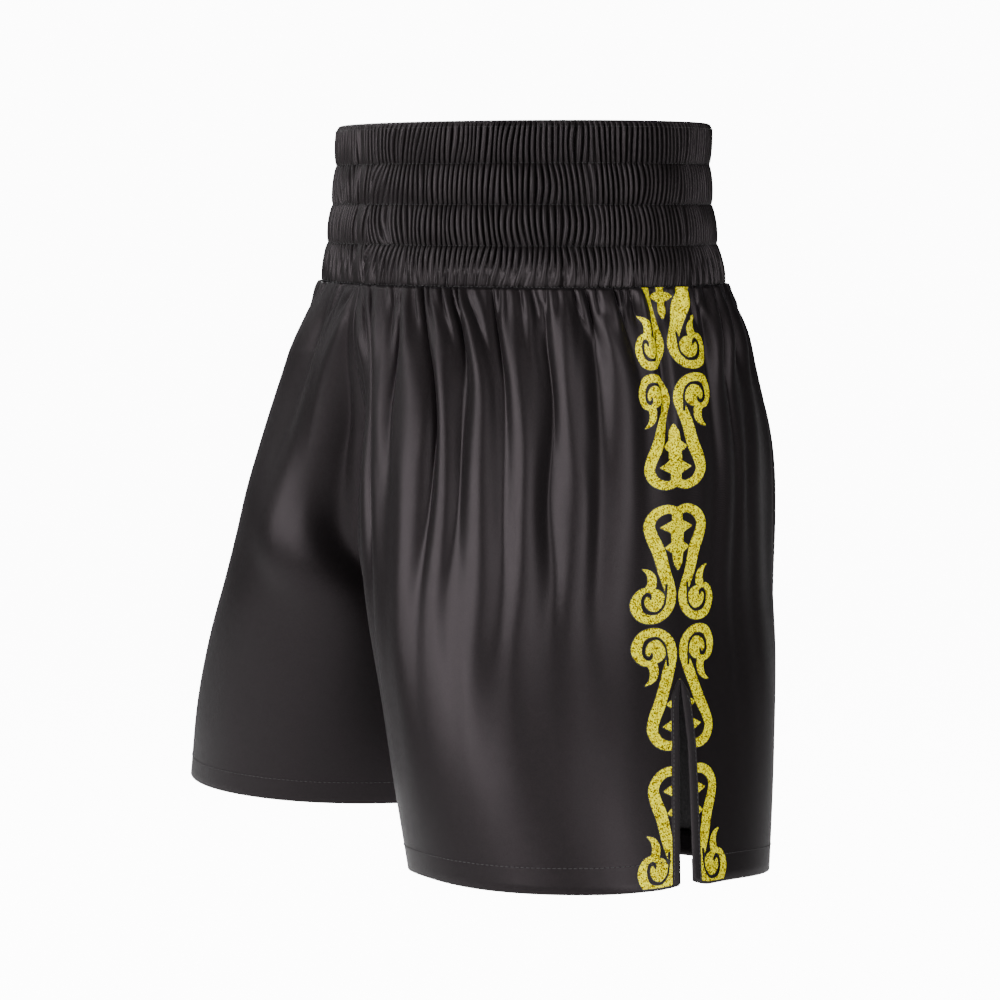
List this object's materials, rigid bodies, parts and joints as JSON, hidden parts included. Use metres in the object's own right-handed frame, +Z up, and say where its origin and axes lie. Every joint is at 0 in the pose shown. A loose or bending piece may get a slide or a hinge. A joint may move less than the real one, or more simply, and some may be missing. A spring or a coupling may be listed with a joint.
{
  "type": "boxing shorts",
  "caption": "Satin boxing shorts with a wide shirred elastic waistband, two full flared legs with side slits, and a column of mirrored scroll prints down each side.",
  "frame": {"origin": "centre of the waist opening, level with the waistband's top edge", "axes": "+Z up, the front faces -Y, the wearer's left leg is on +X"},
  "size_m": [0.4844, 0.2954, 0.447],
  "materials": {
    "panel_satin": "satin weave with a soft sheen",
    "waistband_satin": "satin weave, shirred",
    "elastic": "woven elastic",
    "thread": "polyester sewing thread",
    "binding": "folded satin tape",
    "glitter_print": "gold glitter film with a dark outline"
  },
  "bodies": {
    "hip": {"waistband_casing": "waistband_satin", "elastic_row_1": "elastic", "elastic_row_2": "elastic", "elastic_row_3": "elastic", "elastic_row_4": "elastic", "top_stitch_row": "thread", "channel_stitch_1": "thread", "channel_stitch_2": "thread", "channel_stitch_3": "thread", "waist_seam": "thread", "left_hip_panel": "panel_satin", "right_hip_panel": "panel_satin", "centre_seam_front": "thread", "centre_seam_back": "thread", "left_motif_1": "glitter_print", "left_motif_2": "glitter_print", "right_motif_1": "glitter_print", "right_motif_2": "glitter_print"},
    "left_leg": {"left_leg_panel": "panel_satin", "left_inseam": "thread", "left_slit_binding_front": "binding", "left_slit_binding_back": "binding", "left_hem_stitch_front": "thread", "left_hem_stitch_back": "thread", "left_motif_3": "glitter_print", "left_motif_4_front": "glitter_print", "left_motif_4_back": "glitter_print", "left_motif_5_front": "glitter_print", "left_motif_5_back": "glitter_print"},
    "right_leg": {"right_leg_panel": "panel_satin", "right_inseam": "thread", "right_slit_binding_front": "binding", "right_slit_binding_back": "binding", "right_hem_stitch_front": "thread", "right_hem_stitch_back": "thread", "right_motif_3": "glitter_print", "right_motif_4_front": "glitter_print", "right_motif_4_back": "glitter_print", "right_motif_5_front": "glitter_print", "right_motif_5_back": "glitter_print"}
  },
  "joints": [
    {"name": "left_leg_swing", "type": "hinge", "parent": "hip", "child": "left_leg", "pos_m": [0.0932, -0.036, -0.3], "axis": [-1, 0, 0], "range_deg": [-20, 40]},
    {"name": "right_leg_swing", "type": "hinge", "parent": "hip", "child": "right_leg", "pos_m": [-0.0932, -0.036, -0.3], "axis": [-1, 0, 0], "range_deg": [-20, 40]}
  ]
}
